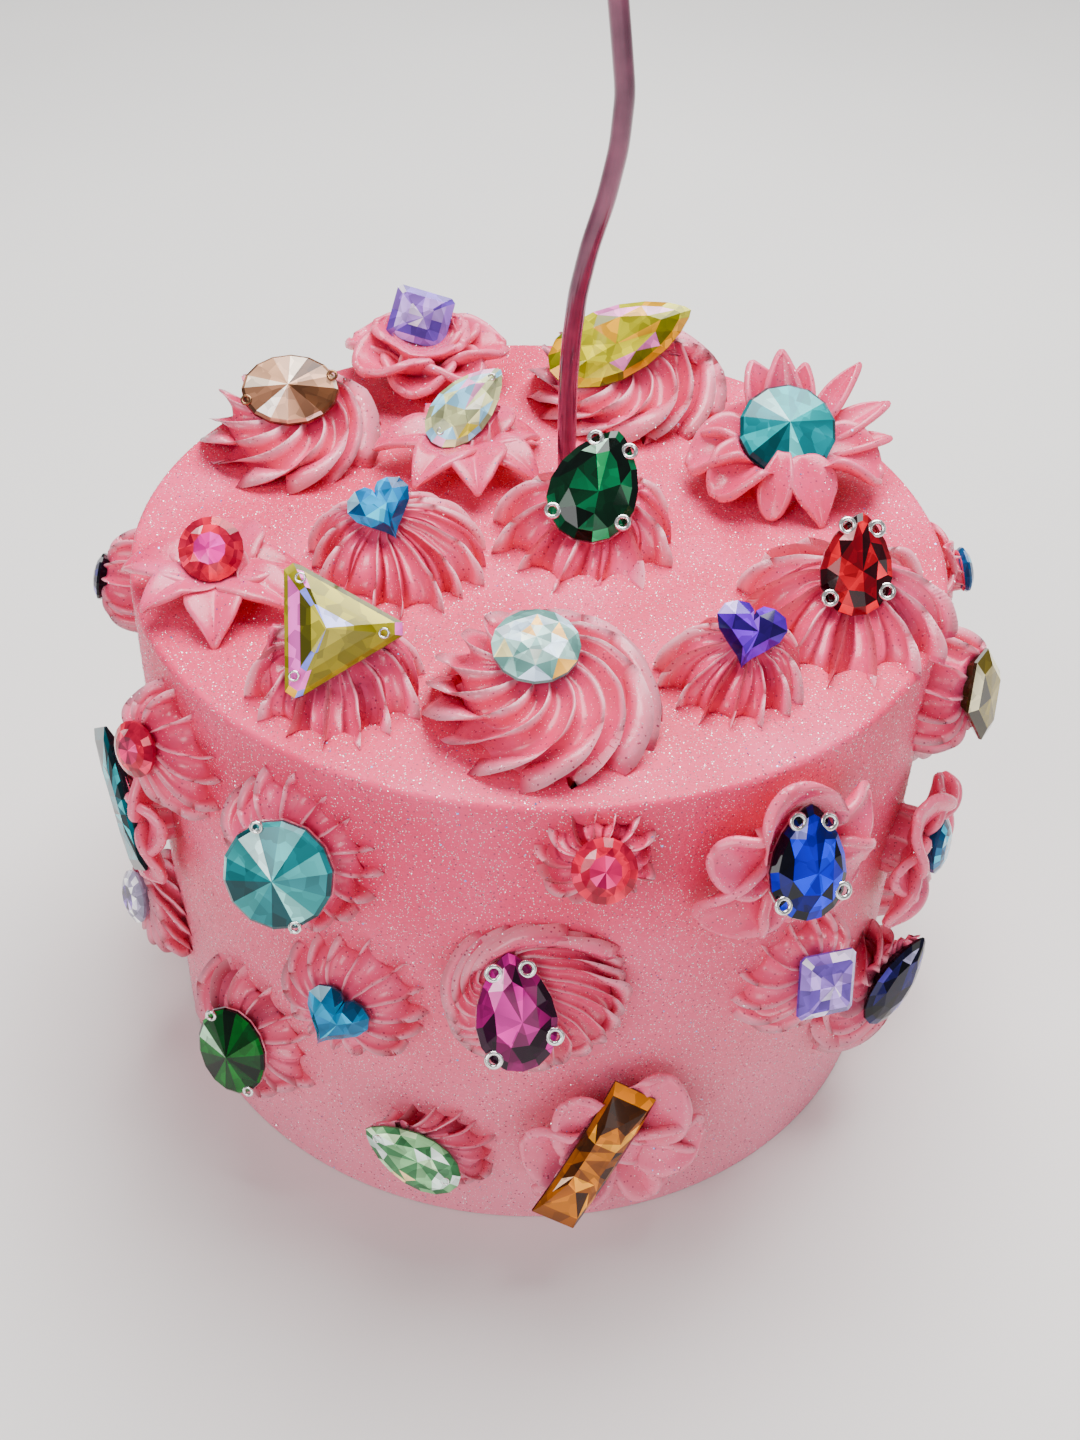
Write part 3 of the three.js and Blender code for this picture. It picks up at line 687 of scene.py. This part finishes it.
def pipeSwirl(form, size, tall, ribs, first, stone, pose, seed):
    look = swirlLook[form]
    spread = np.random.default_rng(seed)
    count = ribs * pointsPerRib
    piece = drawnUp(count, swirlRings)
    raw = pointsOf(piece)
    rise = np.clip((np.arange(swirlRings) - 1) / (swirlRings - 2), 0, 1)[:, None]
    around = np.arange(count)[None, :] / pointsPerRib
    rib = around.astype(int) % ribs
    share = around % 1
    valley = np.sin(math.pi * share ** look["skew"]) ** look["sharp"]
    longer = spread.uniform(*uneven["longer"], ribs)
    wander = spread.uniform(*uneven["wander"], ribs)
    deeper = spread.uniform(*uneven["deeper"], ribs)
    blend = [table[rib] * (1 - share) + table[(rib + 1) % ribs] * share for table in (longer, wander)]
    turn = (around + blend[1] * (1 - rise)) / ribs * math.tau + math.radians(first)
    turn = turn + math.radians(look["twist"]) * rise ** 0.8
    radius = size / 2 * (blend[0] + look["flare"] * (1 - valley))
    foot = np.stack([radius * np.cos(turn), radius * np.sin(turn), np.zeros_like(turn)], -1)
    edge, middle = stoneEdge(turn, stone, pose, tall)
    upright = foot.copy()
    upright[..., 2] = look["steep"] * edge[..., 2]
    inward = edge + (foot - edge) * np.array([0.5, 0.5, 0])
    inward[..., 2] += 0.12 * edge[..., 2]
    u = rise[..., None]
    shaped = (1 - u) ** 3 * foot + 3 * (1 - u) ** 2 * u * upright
    shaped = shaped + 3 * (1 - u) * u * u * inward + u ** 3 * edge
    along = np.gradient(shaped, axis=0)
    across = np.roll(shaped, -1, 1) - np.roll(shaped, 1, 1)
    outward = np.cross(across, along)
    outward /= np.linalg.norm(outward, axis=-1, keepdims=True) + 1e-12
    spacing = math.pi * size / ribs
    fade = (1 - rise) ** 0.6 * 0.8 + 0.2
    inset = look["depth"] * spacing * valley * deeper[rib] * fade - look["crest"] * mm * (share < 0.05)
    shaped = shaped - outward * inset[..., None]
    shaped[0] = shaped[1]
    shaped[0, :, 2] = -footDepth * mm
    ring = np.rint(raw[:, 2]).astype(int)
    spot = np.rint(np.arctan2(raw[:, 1], raw[:, 0]) / math.tau * count).astype(int) % count
    points = shaped[ring, spot]
    points[np.hypot(raw[:, 0], raw[:, 1]) < 0.5] = middle
    lumps = [noise.noise_vector(Vector(p) * lumpScale + Vector((seed, 0, 0))) for p in points]
    setPoints(piece, points + np.array([tuple(v) for v in lumps]) * lumpHeight * mm)
    # a painted highlight on the crest of each ridge, none on the two lowest rings
    crestHighlights = np.where(share[0] < 0.05, 0.5, 0)
    paintRidgeHighlights(piece, np.where(ring < 2, 0, crestHighlights[spot]))
    outwards(piece)
    return piece


# petals: rise is how steeply a petal leaves the middle, droop how far it bends back down
petalLook = {
    "leaf": {"cup": -0.16, "fold": 0.3, "thick": 1.3, "pointed": True, "belly": 0.72},
    "blade": {"cup": 0.2, "fold": 0.12, "thick": 1.4, "pointed": True, "belly": 1.3},
    "cup": {"cup": 0.34, "fold": 0.0, "thick": 1.8, "pointed": False},
    "tongue": {"cup": 0.1, "fold": 0.1, "thick": 1.8, "pointed": False},
}


# steps in which the middle line of a petal bends
petalSteps = 40


def addPetal(kind, heading, long, wide, rise, droop, start, seed):
    look = petalLook[kind]
    clearSelection()
    bpy.ops.mesh.primitive_grid_add(x_subdivisions=10, y_subdivisions=14, size=2)
    piece = bpy.context.object
    points = pointsOf(piece)
    across, along = points[:, 0], (points[:, 1] + 1) / 2
    if look["pointed"]:
        half = np.sin(math.pi * np.clip(along, 0, 1) ** look["belly"]) ** 0.85 + 0.32 * (1 - along) ** 2
    else:
        half = np.minimum(1, 0.45 + 1.3 * along) * np.sqrt(1 - np.clip((along - 0.5) / 0.505, 0, 1) ** 2)
    ragged = np.array([noise.noise(Vector((seed * 3.1, a * 4.5, s)))
                       for a, s in zip(along, np.sign(across))])
    half = half * wide / 2 * (1 + 0.14 * ragged)
    bend = math.radians(rise) - math.radians(droop) * np.linspace(0, 1, petalSteps + 1)
    stepLong = long / petalSteps
    outPath = np.concatenate([[0], np.cumsum(np.cos(bend[:-1]) * stepLong)])
    upPath = np.concatenate([[0], np.cumsum(np.sin(bend[:-1]) * stepLong)])
    out, up, tilt = (np.interp(along * petalSteps, np.arange(petalSteps + 1), line)
                     for line in (outPath, upPath, bend))
    raised = look["cup"] * wide * across ** 2 * np.sin(math.pi * np.clip(along, 0.08, 0.92))
    raised += look["fold"] * wide * (np.abs(across) - 0.5) * np.sin(math.pi * np.clip(along, 0, 1))
    x = start[0] + out - raised * np.sin(tilt)
    z = start[1] + up + raised * np.cos(tilt)
    setPoints(piece, np.stack([x, across * half, z], 1))
    # a faint painted highlight along the rim and tip of each petal
    rim = (np.abs(across) > 0.95) | (along > 0.97)
    paintRidgeHighlights(piece, np.where(rim, 0.14, 0))
    thick = piece.modifiers.new("thick", "SOLIDIFY")
    thick.thickness = look["thick"] * mm
    thick.offset = 0
    soft = piece.modifiers.new("soft", "SUBSURF")
    soft.levels = soft.render_levels = 1
    applyModifiers(piece)
    piece.data.transform(Matrix.Rotation(math.radians(heading), 4, "Z"))
    outwards(piece)
    return piece


# rings of petals, from the outside in. long, wide: shares of the flower's width. start: out from the
# middle as a share of the width, and up as a share of the height
flowerLook = {
    "leaves": [{"kind": "leaf", "long": 0.6, "wide": 0.36, "rise": 36, "droop": 92, "start": (0.04, 0.4)}],
    "cups": [{"kind": "cup", "long": 0.64, "wide": 0.56, "rise": 29, "droop": 42, "start": (0.04, 0.2)}],
    "rose": [{"kind": "cup", "count": 7, "first": 10, "long": 0.56, "wide": 0.52, "rise": 34, "droop": 30,
              "start": (0.03, 0.1)},
             {"kind": "cup", "count": 5, "first": 40, "long": 0.42, "wide": 0.46, "rise": 56, "droop": 18,
              "start": (0.05, 0.24)},
             {"kind": "tongue", "count": 4, "first": 0, "long": 0.26, "wide": 0.28, "rise": 66, "droop": -4,
              "start": (0.05, 0.36)}],
}
# the flower of the wide blue stone: blades behind it, broad petals at its sides and two over its
# lower edge. Each petal has a heading, a length, a width and a rise
sprayLook = [
    {"kind": "blade", "droop": 16, "start": (0.1, 0.3), "seed": 0, "over": False,
     "petals": [(76, 0.58, 0.19, 60), (96, 0.64, 0.22, 66), (118, 0.6, 0.27, 60), (48, 0.72, 0.16, 46),
                (26, 0.66, 0.2, 34), (8, 0.56, 0.2, 26)]},
    {"kind": "cup", "droop": 62, "start": (0.05, 0.42), "seed": 9, "over": False,
     "petals": [(148, 0.54, 0.44, 26), (188, 0.56, 0.46, 26), (222, 0.56, 0.38, 26), (-14, 0.54, 0.46, 26)]},
    {"kind": "tongue", "droop": 44, "start": (0.18, 0.9), "seed": 30, "over": True,
     "petals": [(-104, 0.42, 0.2, -22)]},
    {"kind": "leaf", "droop": 48, "start": (0.19, 0.88), "seed": 31, "over": True,
     "petals": [(-70, 0.46, 0.26, -18)]},
]
# width of the mound under the petals
moundShare = {"leaves": 0.42, "cups": 0.56, "rose": 0.56, "spray": 0.56}
moundRibs = 8
# seeds from one ring of petals to the next
seedStep = 20


def petalRing(ring, item, size, tall, seed):
    vary = random.Random(seed)
    count = ring.get("count", item["ribs"])
    first = ring.get("first", item["first"] - 90)
    start = (size * ring["start"][0], tall * ring["start"][1])
    made = []
    for i in range(count):
        heading = first + 360 * i / count + vary.uniform(-9, 9)
        long = size * ring["long"] * vary.uniform(0.88, 1.1)
        wide = size * ring["wide"] * vary.uniform(0.82, 1.15)
        rise = ring["rise"] + vary.uniform(-8, 8)
        made.append(addPetal(ring["kind"], heading, long, wide, rise, ring["droop"], start, seed + i))
    return made


def petalSpray(group, size, tall, seed):
    start = (size * group["start"][0], tall * group["start"][1])
    return [addPetal(group["kind"], heading, size * long, size * wide, rise, group["droop"], start,
                     seed + group["seed"] + i)
            for i, (heading, long, wide, rise) in enumerate(group["petals"])]


def pipeFlower(form, size, tall, item, pose, seed):
    # the petals and the mound of one flower, then the petals that lie over its stone
    made, over = [], []
    for level, ring in enumerate(flowerLook.get(form, [])):
        made += petalRing(ring, item, size, tall, seed + seedStep * level)
    for group in sprayLook if form == "spray" else []:
        (over if group["over"] else made).extend(petalSpray(group, size, tall, seed))
    made.append(pipeSwirl("mound", size * moundShare[form], tall * 0.92, moundRibs, 0, item["stone"], pose,
                          seed))
    return made, over


def wrapRound(points):
    # bends a flat layout round the side of the cake
    turn = points[:, 0] / cakeRadius
    reach = cakeRadius + points[:, 2]
    return np.stack([reach * np.sin(turn), points[:, 1], reach * np.cos(turn) - cakeRadius], 1)


# how cream that would stand in front of a stone is pressed back: how far behind the stone, how far
# out from its middle the limit starts to rise, and how steeply
pressed = {"back": 0.1, "within": 0.94, "slope": 2.2}


def pressStone(points, stone, pose):
    seen = throughMatrix(points, pose.inverted())
    wide, long = stone["wide"] / 2 * mm, stone["long"] / 2 * mm
    away = np.hypot(seen[:, 0] / wide, seen[:, 1] / long)
    limit = np.clip(away - pressed["within"], 0, None) * min(wide, long) * pressed["slope"]
    limit = -pressed["back"] * stone["wide"] * mm + limit
    seen[:, 2] = np.minimum(seen[:, 2], limit)
    return throughMatrix(seen, pose)


# how far above the cake a point may lie and still be part of a foot, in millimetres
footSlack = {"top": 0.05, "side": 0.34}


def footOf(node):
    # the ring on which a piped piece stands: where it is and which way it faces, how wide it is, and
    # the sense in which its stone leans
    points = {tuple(round(c, 6) for c in v.co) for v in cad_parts[node].data.vertices}
    points = np.array(sorted(points))
    if points[:, 2].min() > cakeTop - 1e-6:
        ring = points[points[:, 2] < points[:, 2].min() + footSlack["top"] * mm]
        middle = (ring.max(0) + ring.min(0)) / 2
        reach = np.hypot(*(ring - middle)[:, :2].T).max()
        return Matrix.Translation((middle[0], middle[1], cakeTop)), reach * 2, 1
    ring = points[np.hypot(points[:, 0], points[:, 1]) < cakeRadius + footSlack["side"] * mm]
    heading = Vector((ring[:, 0].mean(), ring[:, 1].mean(), 0)).normalized()
    up = (ring[:, 2].max() + ring[:, 2].min()) / 2
    right = Vector((-heading.y, heading.x, 0))
    turn = Matrix((right, (0, 0, 1), heading)).transposed().to_4x4()
    reach = (ring[:, 2].max() - ring[:, 2].min()) / 2
    spot = heading * cakeRadius
    return Matrix.Translation((spot.x, spot.y, up)) @ turn, reach * 2, -1


def stonePose(stone, sense):
    seat = Matrix.Translation([value * mm for value in stone["seat"]])
    lean = Matrix.Rotation(math.radians(stone["lean"]) * sense, 4, "X")
    swing = Matrix.Rotation(math.radians(stone["swing"]), 4, "Y")
    return seat @ swing @ lean @ Matrix.Rotation(math.radians(stone["turn"]), 4, "Z")


def makeCream(name, item, seed):
    place, size, sense = footOf(name)
    tall = item["tall"] * mm
    stone = item["stone"]
    pose = stonePose(stone, sense)
    if item["form"] in ("star", "rosette"):
        first = item["first"]
        made, over = [], [pipeSwirl(item["form"], size, tall, item["ribs"], first, stone, pose, seed)]
    else:
        made, over = pipeFlower(item["form"], size, tall, item, pose, seed)
    for piece in made + over:
        points = pointsOf(piece)
        if sense < 0:
            points = wrapRound(points)
        if piece in made:
            points = pressStone(points, stone, pose)
        setPoints(piece, points)
    cream = joined(made + over)
    bpy.ops.object.shade_smooth()
    placed(cream, place)
    cream.data.materials.clear()
    cream.data.materials.append(pipedCream)
    cream.name = name + "_cream"
    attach(cream, "root")
    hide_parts(name)
    return cream, place @ pose


def makeStone(name, item, pose, seed):
    stone = item["stone"]
    gem = joined([cutStone(stone, seed), *settingFor(stone)])
    placed(gem, pose)
    gem.name = name + "_gem"
    owned = name + "_stone"
    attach(gem, "root")
    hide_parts(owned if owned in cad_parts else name)
    return gem


creams = []
for number, (name, item) in enumerate(decorations.items()):
    cream, pose = makeCream(name, item, number + 11)
    makeStone(name, item, pose, number + 5)
    creams.append(cream)
print("piped pieces with their stones", len(creams))


# ---- cake body
cakeLook = {"round": 1.3, "roundSteps": 4, "sides": 192}


def makeCake():
    clearSelection()
    bpy.ops.mesh.primitive_cylinder_add(vertices=cakeLook["sides"], radius=cakeRadius, depth=cakeTop,
                                        location=(0, 0, cakeTop / 2), end_fill_type="NGON")
    body = placed(bpy.context.object, Matrix.Identity(4))
    editing(body)
    bpy.ops.mesh.select_mode(type="EDGE")
    bpy.ops.mesh.select_all(action="DESELECT")
    shell = bmesh.from_edit_mesh(body.data)
    for edge in shell.edges:
        edge.select = all(v.co.z > cakeTop - 1e-5 for v in edge.verts)
    bmesh.update_edit_mesh(body.data)
    bpy.ops.mesh.bevel(offset=cakeLook["round"] * mm, segments=cakeLook["roundSteps"])
    bpy.ops.object.mode_set(mode="OBJECT")
    bpy.ops.object.shade_smooth_by_angle(angle=math.radians(40))
    body.data.materials.append(smoothCream)
    body.name = "cake_body"
    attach(body, "root")
    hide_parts("cake")
    return body


cakeBody = makeCake()


# ---- candle, along the middle of the frame's own candle
candleLook = {"rings": 60, "wick": 7.0, "wickThick": 1.0, "gap": 0.2,
              "wickBends": [(0, -2), (0, 0), (0.3, 3.5), (0.6, 6.9)]}


def candleMiddle(height):
    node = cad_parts["candle"].data
    crossed = []
    for edge in node.edges:
        a, b = (node.vertices[i].co for i in edge.vertices)
        if (a.z - height) * (b.z - height) < 0:
            crossed.append(a.lerp(b, (height - a.z) / (b.z - a.z)))
    spots = np.array([tuple(p) for p in crossed])
    middle = (spots.max(0) + spots.min(0)) / 2
    return Vector((middle[0], middle[1], height)), (spots.max(0) - spots.min(0))[1]


def tubeAlong(name, points, radius, sides, material):
    curve = bpy.data.curves.new(name, "CURVE")
    curve.dimensions = "3D"
    curve.bevel_depth = radius
    curve.bevel_resolution = sides
    curve.use_fill_caps = True
    line = curve.splines.new("NURBS")
    line.points.add(len(points) - 1)
    for spot, point in zip(line.points, points):
        spot.co = (*point, 1)
    line.use_endpoint_u = True
    clearSelection()
    tube = linked(name, curve)
    tube.select_set(True)
    bpy.context.view_layer.objects.active = tube
    bpy.ops.object.convert(target="MESH")
    bpy.ops.object.shade_smooth_by_angle(angle=math.radians(50))
    tube = bpy.context.object
    tube.data.materials.append(material)
    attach(tube, "root")
    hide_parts("candle")
    return tube


def makeCandle():
    low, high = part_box("candle")
    waxTop = high.z - (candleLook["wick"] + candleLook["gap"]) * mm
    sections = [candleMiddle(level) for level in np.linspace(low.z + 0.5 * mm, waxTop, candleLook["rings"])]
    line = [middle for middle, _ in sections]
    rod = tubeAlong("candle_rod", line, sections[len(sections) // 2][1] / 2, 8, waxGloss)
    top = line[-1]
    bends = [top + Vector((x * mm, 0, z * mm)) for x, z in candleLook["wickBends"]]
    tubeAlong("candle_wick", bends, candleLook["wickThick"] / 2 * mm, 3, cotton)


makeCandle()
print("cake and candle")


# ---- glitter: fine flakes lying on all the cream. size: half of a flake's side, in millimetres
glitterLook = {
    "glitter_smooth": {"count": 90000, "size": (0.045, 0.105), "colours": ("#a5949b", "#ffffff"),
                       "metal": 0.7},
    "glitter_piped": {"count": 42000, "size": (0.045, 0.1), "colours": ("#c9b6be", "#ffffff"),
                      "metal": 0.7},
    "glitter_violet": {"count": 1500, "size": (0.1, 0.2), "colours": ("#8a7be0", "#8fd8f2"),
                       "metal": 0.8},
}
# how far a flake lies off the cream and how deep in the cake cream no longer shows, in millimetres,
# and how unevenly the flakes lie
flakeHeight = 0.05
buriedDepth = 0.4
flakeTilt = 0.4


def cornersOn(pieces, lowest):
    # the corners of all triangles that show, without those buried in the cake
    tables = []
    for piece in pieces:
        piece.data.calc_loop_triangles()
        spots = pointsOf(piece)
        faces = np.array([t.vertices for t in piece.data.loop_triangles])
        tables.append(spots[faces])
    corners = np.concatenate(tables)
    middle = corners.mean(1)
    within = np.hypot(middle[:, 0], middle[:, 1]) < cakeRadius - buriedDepth * mm
    buried = within & (middle[:, 2] < cakeTop - buriedDepth * mm)
    return corners[(corners[:, :, 2].max(1) > lowest) & ~buried]


def spreadFlakes(name, corners, seed):
    look = glitterLook[name]
    pick = np.random.default_rng(seed)
    count = look["count"]
    sides = np.cross(corners[:, 1] - corners[:, 0], corners[:, 2] - corners[:, 0])
    area = np.linalg.norm(sides, axis=1)
    keep = area > 1e-14
    corners, sides, area = corners[keep], sides[keep], area[keep]
    chosen = pick.choice(len(area), count, p=area / area.sum())
    share = np.sqrt(pick.random((count, 1)))
    other = pick.random((count, 1))
    a, b, c = (corners[chosen, i] for i in range(3))
    normals = sides[chosen] / area[chosen, None]
    spots = a * (1 - share) + b * share * (1 - other) + c * share * other + normals * flakeHeight * mm
    tilted = normals + pick.normal(0, flakeTilt, normals.shape)
    tilted /= np.linalg.norm(tilted, axis=1, keepdims=True)
    across = np.cross(tilted, pick.normal(0, 1, normals.shape))
    across /= np.linalg.norm(across, axis=1, keepdims=True)
    along = np.cross(tilted, across)
    half = pick.uniform(*look["size"], (count, 1)) * mm
    square = [spots + (across * i + along * j) * half for i, j in ((-1, -1), (1, -1), (1, 1), (-1, 1))]
    points = np.stack(square, 1).reshape(-1, 3)
    mesh = bpy.data.meshes.new(name)
    mesh.from_pydata(points.tolist(), [], np.arange(count * 4).reshape(-1, 4).tolist())
    flakes = linked(name, mesh)
    mesh.materials.append(shinyMaterial(name + " flakes", look["colours"], 2600, 0.22, look["metal"]))
    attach(flakes, "root")


smoothFaces = cornersOn([cakeBody], 0.5 * mm)
pipedFaces = cornersOn(creams, 0.5 * mm)
spreadFlakes("glitter_smooth", smoothFaces, 3)
spreadFlakes("glitter_piped", pipedFaces, 4)
spreadFlakes("glitter_violet", np.concatenate([smoothFaces, pipedFaces]), 5)
print("glitter")


# ---- floor, light and camera
lampLook = [
    {"name": "overhead", "spot": (0.1, 0.3, 0.9), "size": 0.7, "power": 21},
    {"name": "front", "spot": (-0.6, -0.9, 0.8), "size": 0.6, "power": 8.5},
    {"name": "low front", "spot": (0.2, -1.1, 0.12), "size": 0.8, "power": 4.2},
    {"name": "side", "spot": (0.9, -0.3, 0.6), "size": 0.35, "power": 0.8},
]


stageLook = {"floor": 6, "drop": 0.2, "sky": (0.9, 0.92, 0.95, 1), "strength": 0.36}


def makeStage():
    clearSelection()
    bpy.ops.mesh.primitive_plane_add(size=stageLook["floor"], location=(0, 0, -stageLook["drop"] * mm))
    floor = placed(bpy.context.object, Matrix.Identity(4))
    floor.name = "floor"
    floor.data.materials.append(shinyMaterial("pale floor", ("#dedbd8", "#e6e3e0"), 3, 0.6, 0.0, bump=0.05))
    world = bpy.data.worlds.new("studio")
    bpy.context.scene.world = world
    world.use_nodes = True
    background = world.node_tree.nodes["Background"]
    setInputs(background, {"Color": stageLook["sky"], "Strength": stageLook["strength"]})
    for look in lampLook:
        light = bpy.data.lights.new(look["name"], "AREA")
        light.energy = look["power"]
        light.size = look["size"]
        lamp = linked(look["name"], light)
        lamp.location = look["spot"]
        aim = Vector((0, 0, cakeTop / 2)) - Vector(look["spot"])
        lamp.rotation_euler = aim.to_track_quat("-Z", "Y").to_euler()


cameraLook = {"spot": (0, -0.2657, 0.2858), "yaw": 0.26, "down": 40.01, "roll": 2.30, "lens": 42.14}


def makeCamera():
    data = bpy.data.cameras.new("camera")
    data.lens = cameraLook["lens"]
    data.sensor_width = 36
    camera = linked("camera", data)
    turn = Matrix.Rotation(-math.radians(cameraLook["yaw"]), 4, "Z")
    tip = Matrix.Rotation(math.radians(90 - cameraLook["down"]), 4, "X")
    roll = Matrix.Rotation(math.radians(cameraLook["roll"]), 4, "Z")
    camera.matrix_world = Matrix.Translation(cameraLook["spot"]) @ turn @ tip @ roll
    bpy.context.scene.camera = camera


makeStage()
makeCamera()
bpy.context.view_layer.update()
